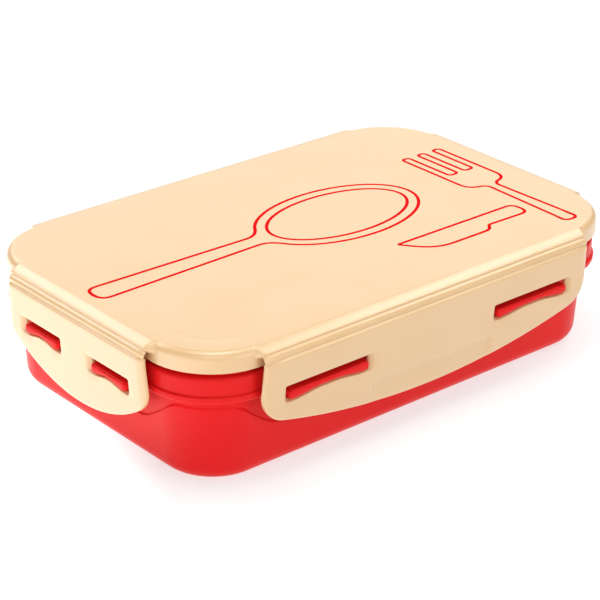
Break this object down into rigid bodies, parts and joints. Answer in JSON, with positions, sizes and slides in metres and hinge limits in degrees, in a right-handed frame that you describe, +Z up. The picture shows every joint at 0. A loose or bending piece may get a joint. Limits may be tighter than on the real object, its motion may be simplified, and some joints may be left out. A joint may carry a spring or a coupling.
{
  "type": "lunch box",
  "caption": "Rectangular plastic lunch box: a drafted tub closed by a sealed lid with locking flaps on living hinges, hooked under snap tabs.",
  "frame": {"origin": "middle of the underside, on the surface that the box stands on", "axes": "+X along the long side, +Z up, -Y towards the front flap"},
  "size_m": [0.2138, 0.1398, 0.052],
  "materials": {
    "red_plastic": "smooth moulded polypropylene, satin gloss",
    "cream_plastic": "smooth moulded polypropylene, satin gloss",
    "seal_silicone": "soft translucent silicone"
  },
  "bodies": {
    "container": {"container": "red_plastic", "snap_tab_front_1": "red_plastic", "snap_tab_front_2": "red_plastic", "snap_tab_back_1": "red_plastic", "snap_tab_back_2": "red_plastic", "snap_tab_right_1": "red_plastic", "snap_tab_right_2": "red_plastic", "snap_tab_left_1": "red_plastic", "snap_tab_left_2": "red_plastic"},
    "lid": {"lid": "cream_plastic", "seal": "seal_silicone", "hinge_web_front": "cream_plastic", "hinge_web_back": "cream_plastic", "hinge_web_right": "cream_plastic", "hinge_web_left": "cream_plastic"},
    "flap_front": {"flap_front": "cream_plastic"},
    "flap_back": {"flap_back": "cream_plastic"},
    "flap_right": {"flap_right": "cream_plastic"},
    "flap_left": {"flap_left": "cream_plastic"}
  },
  "joints": [
    {"name": "lid_lift", "type": "slide", "parent": "container", "child": "lid", "axis": [0, 0, 1], "range_m": [0, 0.08], "deforming": ["snap_tab_front_1", "snap_tab_front_2", "snap_tab_back_1", "snap_tab_back_2", "snap_tab_right_1", "snap_tab_right_2", "snap_tab_left_1", "snap_tab_left_2"]},
    {"name": "flap_front_hinge", "type": "hinge", "parent": "lid", "child": "flap_front", "pos_m": [0, -0.06832, 0.04799], "axis": [-1, 0, 0], "range_deg": [0, 110], "deforming": ["hinge_web_front"]},
    {"name": "flap_back_hinge", "type": "hinge", "parent": "lid", "child": "flap_back", "pos_m": [0, 0.06832, 0.04799], "axis": [1, 0, 0], "range_deg": [0, 110], "deforming": ["hinge_web_back"]},
    {"name": "flap_right_hinge", "type": "hinge", "parent": "lid", "child": "flap_right", "pos_m": [0.10532, 0, 0.04799], "axis": [0, -1, 0], "range_deg": [0, 110], "deforming": ["hinge_web_right"]},
    {"name": "flap_left_hinge", "type": "hinge", "parent": "lid", "child": "flap_left", "pos_m": [-0.10532, 0, 0.04799], "axis": [0, 1, 0], "range_deg": [0, 110], "deforming": ["hinge_web_left"]}
  ]
}
